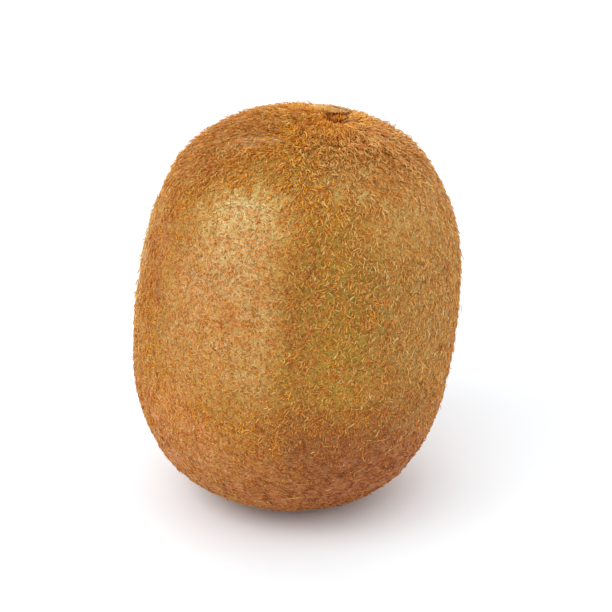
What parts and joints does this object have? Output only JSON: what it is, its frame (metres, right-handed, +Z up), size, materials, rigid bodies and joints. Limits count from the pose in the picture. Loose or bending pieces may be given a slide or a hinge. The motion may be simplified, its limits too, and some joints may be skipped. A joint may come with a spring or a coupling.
{
  "type": "kiwi fruit",
  "caption": "Whole brown furry kiwi fruit standing on its blossom end, slightly leaning, with dried sepals round the stem scar; rests on a small flat spot.",
  "frame": {"origin": "under the middle of the fruit, at the height of the flat spot that it rests on", "axes": "+Z up, from the blossom end to the stem end; the fruit leans about 5 degrees towards +X; -Y faces the viewer"},
  "size_m": [0.0518, 0.0496, 0.0638],
  "materials": {
    "skin": "matte olive-brown fruit skin under short orange-brown fur",
    "fur": "fine stiff orange-brown plant hair, golden at the tips",
    "dried_sepal": "dry, wrinkled, matte brown",
    "dried_flower": "dry, dark brown, brittle"
  },
  "bodies": {
    "root": {"fruit": "skin", "sepal_back": "dried_sepal", "sepal_left": "dried_sepal", "sepal_right": "dried_sepal", "flower_remnant": "dried_flower"}
  },
  "joints": []
}
